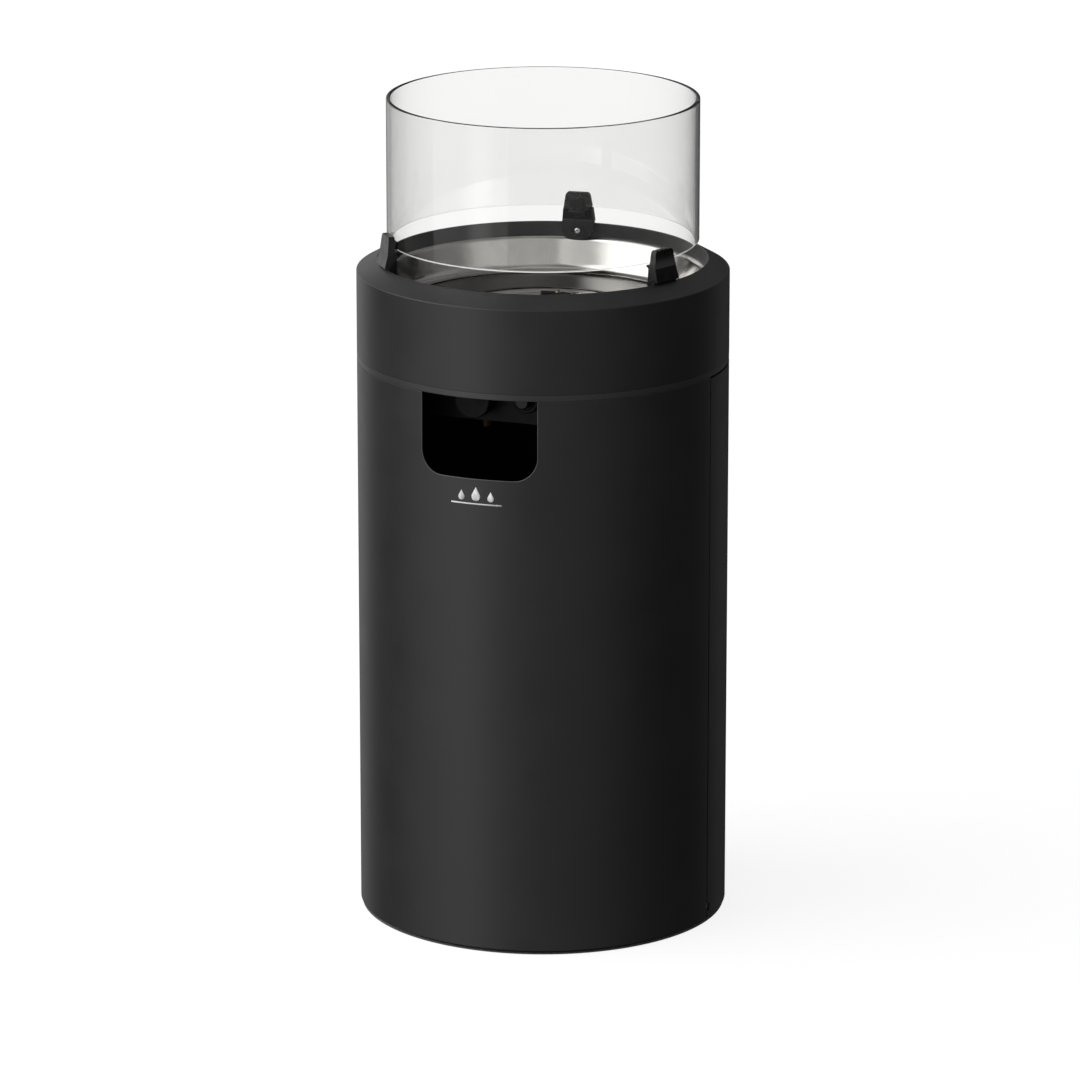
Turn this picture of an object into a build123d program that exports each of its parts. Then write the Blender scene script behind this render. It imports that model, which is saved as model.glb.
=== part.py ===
from build123d import *
import os
from math import asin, cos, degrees, radians, sin

# Patio gas fire column: a steel column that holds a gas bottle, a burner bowl set in its collar,
# and a glass chimney on three clips. Millimetres, +Z up. The origin is on the floor, on the
# column's axis. Bearings are in degrees from the front (-Y), growing towards +X.

# Column
COLUMN_R = 182.5                    # outside of the shell, the door and the collar
SHEET = 1.5                         # steel of the shell and the door
COLLAR_SHEET = 2.0
WALL_IN = COLUMN_R - SHEET
SHELL_BOTTOM = 4.0
BAND_Z = (556.8, 562.8)             # joint ring's visible band
BAND_R = 182.4
SHELL_TOP = BAND_Z[0] - 0.2
SHOULDER_Z = 645.8
RIM_R = 161.0                       # inner edge of the sloping top
RIM_Z = 658.5
RIM_DROP = 14.6                     # depth of the turned-down inner wall

# Door and its pivot
SEAM = 83.6                         # bearing of each door seam
SEAM_GAP = 2.0
HALF_GAP = degrees(SEAM_GAP / 2 / COLUMN_R)
FRONT_HALF = SEAM - HALF_GAP
DOOR_START = SEAM + HALF_GAP
DOOR_ARC = 360 - 2 * DOOR_START
DOOR_TOP = 555.0
PIVOT_BEARING = 86.0
PIVOT_R = 176.0
PIN_R = 3.0
PIN_PLAY = 0.08                     # running clearance of the pins and the spindle
LOWER_PIVOT_Z = (12.0, 18.0)
DOOR_RIB_IN = 170.0
RIB = 2.0
LOWER_RIB_Z = 20.0
UPPER_RIB_Z = 548.0
LIP_SWEEP = 11.0                    # room that the door's hinge lip needs round the pivot

# Hand opening and emblem
OPENING_HALF = 59.4
OPENING_BOTTOM = 477.7
OPENING_CORNER = 23.0
EMBLEM_Z = 461.0
EMBLEM_DEPTH = 0.4

# Base
FOOT_H = 6.0
FOOT_R = (150.0, 176.0)
PLATE_T = 2.0
PLATE_TOP = FOOT_H + PLATE_T
PLATE_R = 165.0
PLATE_FRONT_R = 180.7
BOTTLE_R = 115.0                    # standard 5 kg gas bottle

# Joint ring
FLANGE_IN = 140.0
FLANGE_Z = (557.0, 559.5)
NOTCH_HALF = 22.0
NOTCH_R = 178.0
TAB_BEARINGS = (-66, -36, 36, 66)
TAB_SCREW_R = 172.0
BRACKET_BEARINGS = (-45, 45, 135, 225)
BRACKET_SCREW_R = 168.0
SCREW_R = 2.0                       # M4 shanks
SCREW_HOLE_R = 2.15

# Burner bowl
BOWL_SHEET = 0.8
LIP_OUT = 162.6
LIP_TURN_R = 157.0                  # where lip and wall would meet without their bend
LIP_Z = 643.4
LIP_BEND = 6.0
BOWL_TURN_R = 145.0
BOWL_BEND = 11.0
BOWL_STEP_R = 138.2
BOWL_STEP_Z = 610.4
LEDGE_Z = 606.4
LEDGE_IN = 130.0
PAN_R = 136.2
PAN_Z = 609.6
PAN_STEP_R = 89.6
PAN_STEP_Z = 606.2
PAN_LEDGE_Z = 602.6
PAN_IN = 82.0
PLATE_EDGE_R = 87.8
CENTRE_Z = 608.5
CENTRE_FLAT_R = 46.0
CUP_R = 30.0
CUP_WALL = 1.2
CUP_Z = (590.0, 611.0)
HOOD_R = (32.0, 43.0)
ELECTRODE_BEARING = 136.0
SENSOR_BEARING = 178.0
PROBE_AT_R = 38.0                   # electrode and sensor, from the axis
PROBE_R = 3.0

# Heat shield and gas train
SHIELD_Z = 572.0
SHIELD_T = 1.2
SHIELD_R = 170.0
STANDOFF_BEARINGS = (60, 180, 300)
STANDOFF_AT_R = 150.0
SUPPORT_BEARINGS = (0, 120, 240)
TUBE_R = 12.0
TUBE_WALL = 1.2
TUBE_Z = (562.0, 598.0)
GAS_Z = 545.0                       # height of the valve, the feed pipe and the injector
PANEL_Y = (-124.0, -122.0)
PANEL_HALF = 75.0
PANEL_Z = (521.0, 557.0)
KNOB_X = -18.0
KNOB_R = 18.0
KNOB_Y = (-146.0, -130.0)
SPINDLE_END_Y = -143.5
NECK_R = 6.0
IGNITER_X = 30.0
BUTTON_R = 7.0
BUTTON_Y = (-138.0, -112.0)
PIPE_R = 4.0
PIPE_ROUTE = ((KNOB_X, -88, GAS_Z), (KNOB_X, -55, GAS_Z), (0, -30, GAS_Z), (0, -9, GAS_Z))
INLET_Y = -104.0
INLET_R = 6.58                      # quarter-inch pipe thread, over its crests
INLET_Z = (511.0, 525.0)

# Glass and its clips
GLASS_R = 152.5
GLASS_WALL = 4.0
GLASS_Z = (676.0, 816.0)
CLIP_BEARINGS = {"rear": 187.5, "left": -52.5, "right": 67.5}
CLIP_TOP = 689.0
CLIP_BOTTOM = 642.0
CLIP_HALF = 16.5
CLIP_TOP_HALF = 12.5
LEDGE_HALF = 8.0
LEDGE_TIP_R = 143.0
CLIP_LEDGE_Z = 672.5
TAB_R = (146.6, 148.2)              # thin tab inside the glass
TAB_HALF = 7.0
TAB_TOP = 683.0
CLIP_SCREW_Z = 650.0
PAD_T = 3.1


# ---- ways of making ----

def at(bearing):
    """A place on the column: X points outwards at this bearing, Y along the wall, Z up."""
    return Rot(0, 0, bearing - 90)


def turned(outline, start=0.0, arc=360.0):
    """An (r, z) outline turned about the column's axis from one bearing through an arc."""
    face = make_face(Plane.XZ * Polyline(*outline, close=True))
    return at(start) * revolve(face, Axis.Z, arc)


def spun(line, thickness):
    """A spun sheet: an (r, z) line that runs inwards, with its thickness below it."""
    section = make_face(offset(line, thickness, side=Side.LEFT, kind=Kind.INTERSECTION))
    return revolve(Plane.XZ * section, Axis.Z, 360)


def oblong(r_range, z_range):
    (r0, r1), (z0, z1) = r_range, z_range
    return ((r0, z0), (r1, z0), (r1, z1), (r0, z1))


def ring(r_range, z_range):
    return turned(oblong(r_range, z_range))


def block(x_range, y_range, z_range):
    corners = (x_range, y_range, z_range)
    low = [min(pair) for pair in corners]
    size = [max(pair) - min(pair) for pair in corners]
    return Pos(*low) * Box(*size, align=(Align.MIN, Align.MIN, Align.MIN))


def rod(radius, z_range):
    low, high = z_range
    return Pos(0, 0, low) * Cylinder(radius, high - low, align=(Align.CENTER, Align.CENTER, Align.MIN))


def rod_y(radius, y_range):
    return Rot(-90, 0, 0) * rod(radius, y_range)


def rod_x(radius, x_range):
    return Rot(0, 90, 0) * rod(radius, x_range)


def hexagon(across_flats, z_range):
    low, high = z_range
    return Pos(0, 0, low) * extrude(RegularPolygon(across_flats / 2, 6, major_radius=False), high - low)


def joined(pieces):
    """Several solids in one node."""
    pieces = list(pieces)
    group = pieces[0]
    for piece in pieces[1:]:
        group = group + piece
    return group


def pivot(solid):
    """Move a solid from the Z axis to the door's pivot line."""
    return at(PIVOT_BEARING) * Pos(PIVOT_R, 0, 0) * solid


# ---- column ----

def hand_opening():
    """Straight-sided cut with two round lower corners, open at the top."""
    mouth = Rectangle(2 * OPENING_HALF, 120, align=(Align.CENTER, Align.MIN))
    mouth = fillet(mouth.vertices().group_by(Axis.Y)[0], OPENING_CORNER)
    return extrude(Plane.XZ.offset(130) * Pos(0, OPENING_BOTTOM) * mouth, 60)


def flame_drop(x, radius, height):
    """One drop of the emblem: a round foot with two straight sides that meet in a tip."""
    lean = asin(radius / (height - radius))
    side_x = radius * cos(lean)
    side_y = radius + radius * sin(lean)
    foot = ThreePointArc((x - side_x, side_y), (x, 0), (x + side_x, side_y))
    sides = Polyline((x + side_x, side_y), (x, height), (x - side_x, side_y))
    return make_face(foot + sides)


def emblem():
    """Three flame drops over a bar, let flush into the shell."""
    bar = Pos(0, -3) * Rectangle(52, 1.4)
    shapes = [bar, flame_drop(-15, 3.2, 10), flame_drop(0, 4.4, 14), flame_drop(15, 3.2, 10)]
    place = Plane.XZ.offset(COLUMN_R - 5) * Pos(0, EMBLEM_Z - 5)
    prisms = joined(extrude(place * shape, 10, both=True) for shape in shapes)
    return prisms & ring((COLUMN_R - EMBLEM_DEPTH, COLUMN_R), (400, 500))


def front_shell():
    wall = turned(oblong((WALL_IN, COLUMN_R), (SHELL_BOTTOM, SHELL_TOP)), -FRONT_HALF, 2 * FRONT_HALF)
    return wall - hand_opening() - emblem()


def shell_tabs():
    """Angle tabs that hang the shell on the joint ring."""
    top = FLANGE_Z[0]
    tabs = []
    for bearing in TAB_BEARINGS:
        upright = block((178.8, 180.6), (-10, 10), (535, top - 0.6))
        foot = block((164, 179.0), (-10, 10), (top - 2, top))
        hole = Pos(TAB_SCREW_R, 0, 0) * rod(SCREW_HOLE_R, (top - 5, top + 1))
        tabs.append(at(bearing) * (upright + foot - hole))
    return joined(tabs)


def joint_ring():
    """Ring that joins column and collar: a visible band and an inner flange, open over the hand opening."""
    low, high = BAND_Z
    band = turned(((180, low), (BAND_R - 0.5, low), (BAND_R, low + 0.5), (BAND_R, high - 0.2),
                   (BAND_R - 0.2, high), (180, high)))
    flange = ring((FLANGE_IN, 180.5), FLANGE_Z)
    notch = turned(oblong((FLANGE_IN - 5, NOTCH_R), (low - 1, FLANGE_Z[1] + 1)), -NOTCH_HALF, 2 * NOTCH_HALF)
    hole_z = (low - 2, FLANGE_Z[1] + 1)
    holes = [pivot(rod(PIN_R + PIN_PLAY, hole_z))]
    holes += [at(b) * Pos(TAB_SCREW_R, 0, 0) * rod(SCREW_HOLE_R, hole_z) for b in TAB_BEARINGS]
    holes += [at(b) * Pos(BRACKET_SCREW_R, 0, 0) * rod(SCREW_HOLE_R, hole_z) for b in BRACKET_BEARINGS]
    return band + flange - notch - joined(holes)


def button_screw(length, head_r=3.6, head=2.4):
    """A screw that stands head down: the head is below z = 0 and the shank above it."""
    return rod(head_r, (-head, 0)) + rod(SCREW_R, (0, length))


def ring_screws():
    start = FLANGE_Z[0] - 2
    return joined(at(b) * Pos(TAB_SCREW_R, 0, start) * button_screw(7) for b in TAB_BEARINGS)


def collar():
    """Turned and pressed collar: wall, sloping top, and the inner wall that it turns down into."""
    line = Polyline((COLUMN_R, BAND_Z[1]), (COLUMN_R, SHOULDER_Z), (RIM_R, RIM_Z), (RIM_R, RIM_Z - RIM_DROP))
    section = offset(line, COLLAR_SHEET, side=Side.LEFT, kind=Kind.INTERSECTION)
    face = make_face(section)
    shoulders = [v for v in face.vertices() if (v.X > COLUMN_R - 0.1 or v.X < RIM_R + 0.1) and v.Y > SHOULDER_Z - 1]
    face = fillet(shoulders, 1.0)
    body = revolve(Plane.XZ * face, Axis.Z, 360)
    screw_holes = [at(b) * Pos(0, 0, CLIP_SCREW_Z) * rod_x(SCREW_HOLE_R, (158, 168))
                   for b in CLIP_BEARINGS.values()]
    return body - joined(screw_holes)


def collar_brackets():
    """Angles that fix the collar's wall to the joint ring."""
    low = FLANGE_Z[1]
    brackets = []
    for bearing in BRACKET_BEARINGS:
        upright = block((177.4, 179.4), (-12, 12), (low, 588))
        foot = block((160, 178), (-12, 12), (low, low + 2))
        hole = Pos(BRACKET_SCREW_R, 0, 0) * rod(SCREW_HOLE_R, (low - 1, low + 3))
        brackets.append(at(bearing) * (upright + foot - hole))
    return joined(brackets)


def collar_screws():
    start = FLANGE_Z[0]
    return joined(at(b) * Pos(BRACKET_SCREW_R, 0, start) * button_screw(7.5) for b in BRACKET_BEARINGS)


# ---- base ----

def slot(bearing, radius, length, width, z_range):
    """An obround cut through a flat plate, lying along the column's wall."""
    low, high = z_range
    shape = extrude(SlotOverall(length, width), high - low)
    return at(bearing) * Pos(radius, 0, low) * Rot(0, 0, 90) * shape


def base_plate():
    disc = rod(PLATE_R, (FOOT_H, PLATE_TOP))
    front = turned(oblong((PLATE_R - 5, PLATE_FRONT_R), (FOOT_H, PLATE_TOP)), -82, 160)
    upstand = turned(oblong((PLATE_FRONT_R - 1.5, PLATE_FRONT_R), (FOOT_H, 24)), -74, 150)
    vents = [slot(b, 90, 46, 10, (FOOT_H - 1, PLATE_TOP + 1)) for b in range(0, 360, 60)]
    return disc + front + upstand - joined(vents)


def foot_ring():
    """Moulded ring that the column stands on, cut back where the door's lip swings in."""
    body = ring(FOOT_R, (0, FOOT_H))
    body = chamfer(body.edges().group_by(Axis.Z)[0], 1.0)
    return body - pivot(rod(LIP_SWEEP, (-1, FOOT_H + 1)))


def foot_screws():
    """Flat-headed screws on the base plate, with their shanks just through it."""
    return joined(at(b) * Pos(157, 0, PLATE_TOP) * rod(4, (0, 1.8)) for b in range(0, 360, 60))


def bottle_stops():
    """Low curved stops that centre the gas bottle from the front and the sides."""
    stop = oblong((BOTTLE_R + 3, BOTTLE_R + 6), (PLATE_TOP, PLATE_TOP + 6))
    return joined(turned(stop, b - 20, 40) for b in (-70, 0, 70))


def post(outer_x, depth, half_width):
    """A channel from the base plate to the joint ring, open towards the axis."""
    wall = 2.0
    z_range = (PLATE_TOP, FLANGE_Z[0])
    outside = block((outer_x - depth, outer_x), (-half_width, half_width), z_range)
    hollow = block((outer_x - depth - 1, outer_x - wall), (wall - half_width, half_width - wall), z_range)
    return outside - hollow


def hinge_post():
    return at(PIVOT_BEARING) * post(164.5, 14, 12)


def latch_post():
    return at(-78) * post(178, 16, 9)


# ---- door ----

def lower_pivot():
    """Bracket on the hinge post: an eye for the pin, and a stop finger that shows in the seam."""
    nose_r = 4.6
    plate = rod(nose_r, LOWER_PIVOT_Z) + block((-11.5, 0), (-3.6, 3.6), LOWER_PIVOT_Z)
    finger = block((-11.5, 4.3), (-10.4, -7.4), LOWER_PIVOT_Z) + block((-11.5, -9.2), (-10.4, 3.6), LOWER_PIVOT_Z)
    return pivot(plate + finger - rod(PIN_R + PIN_PLAY, (0, 30)))


def door_panel():
    wall = turned(oblong((WALL_IN, COLUMN_R), (SHELL_BOTTOM, DOOR_TOP)), DOOR_START, DOOR_ARC)
    low, high = LOWER_PIVOT_Z
    lip_notch = pivot(block((0, 10), (-12, -1.6), (low - 1, high + 1)))
    vents = [at(b) * vent(z) for b in range(140, 230, 20) for z in (48, 62, 76)]
    return wall - lip_notch - joined(vents) - at(-97) * cup_mouth()


def vent(z):
    """A lying slot cut radially through the door."""
    return Plane.YZ.offset(170) * Pos(0, z) * extrude(SlotOverall(46, 6), 20)


def cup_mouth():
    shape = fillet(Rectangle(30, 80).vertices(), 6)
    return Plane.YZ.offset(165) * Pos(0, 280) * extrude(shape, 25)


def pull_cup():
    """Finger cup behind the door, with a curved flange against the panel."""
    tray = block((166, 180.2), (-16.5, 16.5), (238.5, 321.5))
    tray = fillet(tray.edges().filter_by(Axis.X), 7)
    hollow = block((167.5, 190), (-15, 15), (240, 320))
    hollow = fillet(hollow.edges().filter_by(Axis.X), 6)
    flange = turned(oblong((179.4, WALL_IN - 0.05), (232, 328)), 90 - 6.6, 13.2)
    return at(-97) * (tray + flange - hollow)


def door_rib(z):
    """Flat rib inside the door, with an eye for its pivot pin at one end."""
    arc = DOOR_START + DOOR_ARC - PIVOT_BEARING
    rib = turned(oblong((DOOR_RIB_IN, WALL_IN - 0.05), (z, z + RIB)), PIVOT_BEARING, arc)
    eye = pivot(rod(4.8, (z, z + RIB)))
    return rib + eye - pivot(rod(PIN_R, (z - 1, z + RIB + 1)))


def door_edge():
    """Stiffening flange along the free edge, between the ribs."""
    return at(-DOOR_START) * block((DOOR_RIB_IN, WALL_IN - 0.1), (-SHEET, 0), (LOWER_RIB_Z + RIB, UPPER_RIB_Z))


def door_pins():
    return pivot(rod(PIN_R, (9, LOWER_RIB_Z + RIB)) + rod(PIN_R, (UPPER_RIB_Z, 562)))


def pivot_washer():
    low = LOWER_PIVOT_Z[1] + 0.3
    return pivot(rod(4.4, (low, LOWER_RIB_Z)) - rod(PIN_R, (low - 1, LOWER_RIB_Z + 1)))


def strike_plate():
    return at(-DOOR_START) * block((DOOR_RIB_IN + 1, WALL_IN - 2), (0, 0.5), (262, 318))


def magnet_catch():
    return at(-DOOR_START) * block((165, 178), (0.9, 7.8), (270, 310))


# ---- burner bowl ----

def reflector_bowl():
    """Spun bowl: flat lip, a wall that curves out and then in, and a ledge that carries the pan ring."""
    line = FilletPolyline((LIP_OUT, LIP_Z), (LIP_TURN_R, LIP_Z), (BOWL_TURN_R, BOWL_STEP_Z + 1.2),
                          (BOWL_STEP_R, BOWL_STEP_Z), (BOWL_STEP_R, LEDGE_Z), (LEDGE_IN, LEDGE_Z),
                          radius=(LIP_BEND, BOWL_BEND, 0, 0))
    return spun(line, BOWL_SHEET)


def pan_ring():
    """Pressed ring between bowl and centre plate: turned down at its edge and stepped at its middle."""
    line = Polyline((PAN_R, LEDGE_Z + 0.2), (PAN_R, PAN_Z), (PAN_STEP_R, PAN_STEP_Z),
                    (PAN_STEP_R, PAN_LEDGE_Z), (PAN_IN, PAN_LEDGE_Z))
    return spun(line, BOWL_SHEET)


def probe_places():
    return [at(b) * Pos(PROBE_AT_R, 0, 0) for b in (ELECTRODE_BEARING, SENSOR_BEARING)]


def centre_plate():
    """Shallow dished plate round the burner, with a flat land for the hood."""
    line = Polyline((PLATE_EDGE_R, PAN_LEDGE_Z + 0.2), (PLATE_EDGE_R, 605.2), (66, 606.6), (CENTRE_FLAT_R, CENTRE_Z),
                    (CUP_R + 0.6, CENTRE_Z), (CUP_R + 0.6, CENTRE_Z - 4))
    holes = [place * rod(PROBE_R + 0.4, (595, 615)) for place in probe_places()]
    return spun(line, BOWL_SHEET) - joined(holes)


def bowl_supports():
    """Studs from the heat shield to the bowl's ledge."""
    z_range = (SHIELD_Z + SHIELD_T, LEDGE_Z - BOWL_SHEET)
    return joined(at(b) * Pos(134, 0, 0) * rod(4, z_range) for b in SUPPORT_BEARINGS)


def burner_cup():
    low, high = CUP_Z
    wall = ring((CUP_R - CUP_WALL, CUP_R), (low, high - 0.6))
    bead = turned([(CUP_R - CUP_WALL / 2 + 0.9 * cos(radians(a)), high - 0.6 + 0.9 * sin(radians(a)))
                   for a in range(0, 360, 30)])
    floor = ring((TUBE_R, CUP_R - CUP_WALL / 2), (low, low + CUP_WALL))
    return wall + bead + floor


def burner_grille():
    """Ported disc that the gas burns on."""
    disc = rod(CUP_R - CUP_WALL - 0.1, (606.0, 608.4))
    ports = [Rot(0, 0, a) * Pos(19, 0, 605) * extrude(SlotOverall(12, 1.6), 5) for a in range(0, 360, 15)]
    inner = [Rot(0, 0, a) * Pos(8, 0, 605) * extrude(SlotOverall(6, 1.6), 5) for a in range(0, 360, 45)]
    return disc - joined(ports + inner)


def pilot_hood():
    """Cover over the electrode and the flame sensor, taller at the electrode."""
    low = CENTRE_Z
    shroud = turned(oblong(HOOD_R, (low, 615.6)), 118, 34)
    shroud = fillet(shroud.edges().group_by(Axis.Z)[-1], 1.5)
    cover = turned(oblong(HOOD_R, (low, 613.2)), 152, 52)
    cover = fillet(cover.edges().group_by(Axis.Z)[-1], 1.2)
    holes = [place * rod(PROBE_R + 0.2, (low - 1, 620)) for place in probe_places()]
    return shroud + cover - joined(holes)


def electrode_insulator():
    place = probe_places()[0]
    return place * (rod(PROBE_R, (588, 616.4)) - rod(0.9, (580, 620)))


def electrode_wire():
    tip_z = (616.6, 618.2)
    wire = rod(0.9, (582, tip_z[1])) + block((-7, 0), (-0.8, 0.8), tip_z)
    return probe_places()[0] * wire


def flame_sensor():
    probe = rod(PROBE_R, (585, 612.5)) + Pos(0, 0, 612.5) * Sphere(PROBE_R)
    return probe_places()[1] * probe


# ---- heat shield and gas train ----

def heat_shield():
    disc = rod(SHIELD_R, (SHIELD_Z, SHIELD_Z + SHIELD_T))
    edge = ring((SHIELD_R - SHIELD_T, SHIELD_R), (SHIELD_Z, SHIELD_Z + 8))
    cuts = [rod(TUBE_R + 1.5, (SHIELD_Z - 1, SHIELD_Z + 2))]
    cuts += [slot(b, 95, 60, 12, (SHIELD_Z - 1, SHIELD_Z + 2)) for b in range(30, 390, 60)]
    cuts += [place * rod(5, (SHIELD_Z - 1, SHIELD_Z + 2)) for place in probe_places()]
    cuts += [at(b) * Pos(STANDOFF_AT_R, 0, 0) * rod(SCREW_HOLE_R, (SHIELD_Z - 1, SHIELD_Z + 2))
             for b in STANDOFF_BEARINGS]
    return disc + edge - joined(cuts)


def shield_standoffs():
    z_range = (FLANGE_Z[1], SHIELD_Z)
    tube = rod(5, z_range) - rod(SCREW_R, z_range)
    return joined(at(b) * Pos(STANDOFF_AT_R, 0, 0) * tube for b in STANDOFF_BEARINGS)


def shield_screws():
    screw = rod(SCREW_R, (-7, 0)) + rod(3.6, (0, 2.2))
    return joined(at(b) * Pos(STANDOFF_AT_R, 0, SHIELD_Z + SHIELD_T) * screw for b in STANDOFF_BEARINGS)


def mixing_tube():
    """Venturi tube: a bell mouth over the jet, and a flange that sits on the heat shield."""
    low, high = TUBE_Z
    inner = TUBE_R - TUBE_WALL
    outline = ((inner, high), (TUBE_R, high), (TUBE_R, low + 7), (TUBE_R + 3, low),
               (TUBE_R + 1.8, low), (inner, low + 7))
    flange = ring((TUBE_R - 0.5, TUBE_R + 12), (SHIELD_Z + SHIELD_T, SHIELD_Z + SHIELD_T + 1.5))
    return turned(outline) + flange


def injector_bridge():
    """Strap under the heat shield that holds the injector below the tube."""
    floor = block((-20, 20), (-9, 9), (534, 536))
    legs = block((-20, -18), (-9, 9), (534, SHIELD_Z)) + block((18, 20), (-9, 9), (534, SHIELD_Z))
    feet = block((-32, -18), (-9, 9), (SHIELD_Z - 2, SHIELD_Z)) + block((18, 32), (-9, 9), (SHIELD_Z - 2, SHIELD_Z))
    return floor + legs + feet


def injector_holder():
    body = block((-9, 9), (-9, 9), (536, 553))
    return chamfer(body.edges().filter_by(Axis.Z), 2)


def gas_jet():
    outline = ((0.6, 553), (5, 553), (5, 557), (2.4, 561), (0.6, 561))
    return turned(outline)


def feed_pipe():
    path = FilletPolyline(*PIPE_ROUTE, radius=20)
    return sweep(Plane(PIPE_ROUTE[0], z_dir=(0, 1, 0)) * Circle(PIPE_R), path=path)


def pipe_nuts():
    nut = Rot(-90, 0, 0) * (hexagon(14, (0, 10)) - rod(PIPE_R, (-1, 11)))
    return Pos(KNOB_X, -88, GAS_Z) * nut + Pos(0, -19, GAS_Z) * nut


def valve_body():
    """Brass tap: block, threaded neck through the panel, and a bore for the spindle."""
    block_part = block((-16, 16), (PANEL_Y[1], -88), (-14, 14))
    block_part = chamfer(block_part.edges().filter_by(Axis.Y), 3)
    neck = rod_y(NECK_R, (-128, PANEL_Y[1]))
    bore = rod_y(PIN_R + PIN_PLAY, (-130, -100))
    return Pos(KNOB_X, 0, GAS_Z) * (block_part + neck - bore)


def valve_nut():
    nut = Pos(0, -127.5, 0) * Rot(-90, 0, 0) * hexagon(17, (0, 3.5))
    return Pos(KNOB_X, 0, GAS_Z) * (nut - rod_y(NECK_R, (-130, -120)))


def valve_spindle():
    return Pos(KNOB_X, 0, GAS_Z) * rod_y(PIN_R, (SPINDLE_END_Y, -106))


def control_knob():
    """Round knob with finger flutes, hollow behind to clear the neck and its nut."""
    front, back = KNOB_Y
    body = rod_y(KNOB_R, (front, back))
    body = fillet(body.edges().group_by(Axis.Y)[0], 1.5)
    flutes = [Rot(0, a, 0) * Pos(KNOB_R + 1.2, 0, 0) * rod_y(2.4, (front - 1, back - 4)) for a in range(15, 375, 30)]
    hollow = rod_y(12, (-139, back + 1))
    bore = rod_y(PIN_R + PIN_PLAY, (SPINDLE_END_Y - 0.5, back))
    pointer = block((-1.2, 1.2), (front - 1, front + 0.6), (5, 15))
    return Pos(KNOB_X, 0, GAS_Z) * (body - joined(flutes) - hollow - bore - pointer)


def knob_pointer():
    front = KNOB_Y[0]
    return Pos(KNOB_X, 0, GAS_Z) * block((-1.2, 1.2), (front, front + 0.6), (5, 15))


def gas_inlet():
    """Hose fitting under the tap: hexagon and threaded end, with a through bore."""
    low, high = INLET_Z
    body = hexagon(17, (high, 531)) + rod(INLET_R, (low, high)) - rod(3, (low - 1, 532))
    return Pos(KNOB_X, INLET_Y, 0) * body


def control_bracket():
    """Panel under the joint ring that carries the tap and the igniter."""
    panel = block((-PANEL_HALF, PANEL_HALF), PANEL_Y, PANEL_Z)
    top = PANEL_Z[1]
    ears = joined(block((s * 61, s * PANEL_HALF), (-150, PANEL_Y[1]), (top - 2, top)) for s in (-1, 1))
    tap_hole = Pos(KNOB_X, 0, GAS_Z) * rod_y(NECK_R, (-130, -118))
    igniter_hole = Pos(IGNITER_X, 0, GAS_Z) * rod_y(9, (-130, -118))
    return panel + ears - tap_hole - igniter_hole


def igniter_housing():
    """Piezo igniter barrel: it passes through the panel and is blind behind."""
    barrel = rod_y(9, (-128, -96)) + rod_y(11.5, (PANEL_Y[1], -117))
    bore = rod_y(BUTTON_R + 0.3, (-129, -104))
    tab = block((-2.4, 2.4), (-96, -88), (-0.4, 0.4))
    return Pos(IGNITER_X, 0, GAS_Z) * (barrel - bore + tab)


def igniter_bezel():
    nut = rod_y(13, (-127.5, PANEL_Y[0])) - rod_y(9, (-130, -120))
    return Pos(IGNITER_X, 0, GAS_Z) * chamfer(nut.edges().group_by(Axis.Y)[0], 0.8)


def igniter_button():
    button = rod_y(BUTTON_R, BUTTON_Y)
    button = fillet(button.edges().group_by(Axis.Y)[0], 1.5)
    return Pos(IGNITER_X, 0, GAS_Z) * button


# ---- glass ----

def glass_cylinder():
    tube = ring((GLASS_R - GLASS_WALL, GLASS_R), GLASS_Z)
    return chamfer(tube.edges(), 0.5)


def glass_clip():
    """One moulded clip at the +X side: foot inside the rim, ledge under the glass, upright and tab beside it."""
    profile = make_face(Plane.XZ * Polyline(
        (152.0, CLIP_BOTTOM), (155.0, CLIP_BOTTOM), (155.6, 644.8), (RIM_R - 0.1, 645.2),
        (RIM_R - 0.1, RIM_Z + 0.2), (164.6, RIM_Z + 0.2), (164.0, 662), (161.2, 672), (159.5, CLIP_TOP),
        (153.3, CLIP_TOP), (153.3, CLIP_LEDGE_Z), (LEDGE_TIP_R, CLIP_LEDGE_Z),
        (LEDGE_TIP_R, CLIP_LEDGE_Z - 1.2), (152.0, 665.0), close=True))
    slab = extrude(profile, CLIP_HALF, both=True)
    front = make_face(Plane.YZ * (
        Polyline((-10.5, CLIP_TOP), (-CLIP_TOP_HALF, 686.5), (-15.0, 672), (-CLIP_HALF, 652))
        + ThreePointArc((-CLIP_HALF, 652), (0, CLIP_BOTTOM), (CLIP_HALF, 652))
        + Polyline((CLIP_HALF, 652), (15.0, 672), (CLIP_TOP_HALF, 686.5), (10.5, CLIP_TOP), (-10.5, CLIP_TOP))))
    clip = slab & extrude(front, 200)
    ledge_sides = [block((140, 151.9), (s * LEDGE_HALF, s * 30), (640, 700)) for s in (-1, 1)]
    rim_room = at(90) * ring((RIM_R - 0.1, RIM_R + 10), (CLIP_BOTTOM - 1, RIM_Z + 0.2))
    screw_hole = Pos(0, 0, CLIP_SCREW_Z) * rod_x(SCREW_HOLE_R, (150, 165))
    tab = block(TAB_R, (-TAB_HALF, TAB_HALF), (CLIP_LEDGE_Z - 0.5, TAB_TOP))
    tab = fillet(tab.edges().filter_by(Axis.X).group_by(Axis.Z)[-1], 2.5)
    return clip - joined(ledge_sides) - rim_room - screw_hole + tab


def clip_pads():
    pad = block((148.4, 153.2), (2 - LEDGE_HALF, LEDGE_HALF - 2), (CLIP_LEDGE_Z, CLIP_LEDGE_Z + PAD_T))
    return joined(at(b) * pad for b in CLIP_BEARINGS.values())


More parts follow.
